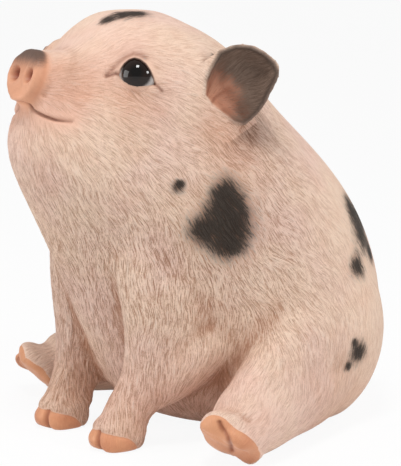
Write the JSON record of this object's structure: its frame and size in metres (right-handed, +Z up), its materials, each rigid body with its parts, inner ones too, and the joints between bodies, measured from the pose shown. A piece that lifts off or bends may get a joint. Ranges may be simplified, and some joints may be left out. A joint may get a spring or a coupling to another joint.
{
  "type": "sitting piglet figurine",
  "caption": "Realistic sitting piglet ornament in hand-painted resin, head raised, forelegs straight, hind legs splayed, glossy dark eyes and dark ears.",
  "frame": {"origin": "centre of the bounding box in plan, on the surface it stands on", "axes": "+Z up, -Y the way the piglet faces, +X its left side"},
  "size_m": [0.1466, 0.1516, 0.1499],
  "materials": {
    "painted_resin": "matt paint over carved fur",
    "ear_resin": "matt paint",
    "eye_glass": "polished, backed in dark brown",
    "plug_rubber": "matt",
    "felt": "felt"
  },
  "bodies": {
    "root": {"body": "painted_resin", "head": "painted_resin", "left_eye": "eye_glass", "right_eye": "eye_glass", "left_ear": "ear_resin", "right_ear": "ear_resin", "left_foreleg": "painted_resin", "right_foreleg": "painted_resin", "left_hind_leg": "painted_resin", "right_hind_leg": "painted_resin", "tail": "painted_resin", "base_plug": "plug_rubber", "seat_pads": "felt"}
  },
  "joints": []
}
